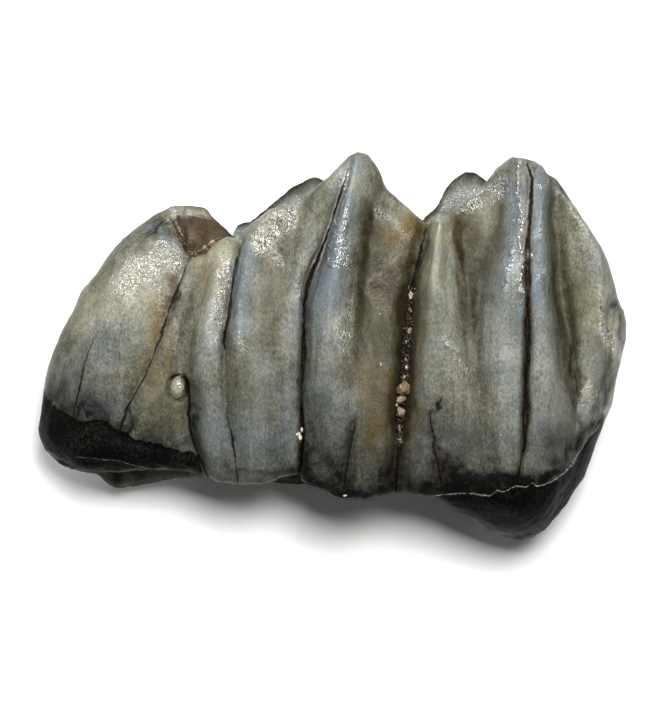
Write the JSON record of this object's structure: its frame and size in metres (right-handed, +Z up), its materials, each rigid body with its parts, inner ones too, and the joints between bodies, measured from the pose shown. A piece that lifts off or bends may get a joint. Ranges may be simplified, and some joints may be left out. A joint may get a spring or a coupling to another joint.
{
  "type": "fossil deer tooth",
  "caption": "Fossil lower back molar of a deer with tall folded lobes, lying on its cheek side; a natural specimen for display or study trays.",
  "frame": {"origin": "on the surface the tooth lies on, below the middle of the tooth's bounding box", "axes": "+X along the row of lobes towards the front end of the tooth, +Y towards the chewing edge, +Z up through the tongue side"},
  "size_m": [0.0214, 0.014, 0.01],
  "materials": {
    "enamel": "glossy mineralised enamel, pale grey and olive, stained brown and black towards the root end",
    "sediment": "matt cemented sand grains, tan to dark brown"
  },
  "bodies": {
    "root": {"tooth": "enamel", "groove_sediment": "sediment"}
  },
  "joints": []
}
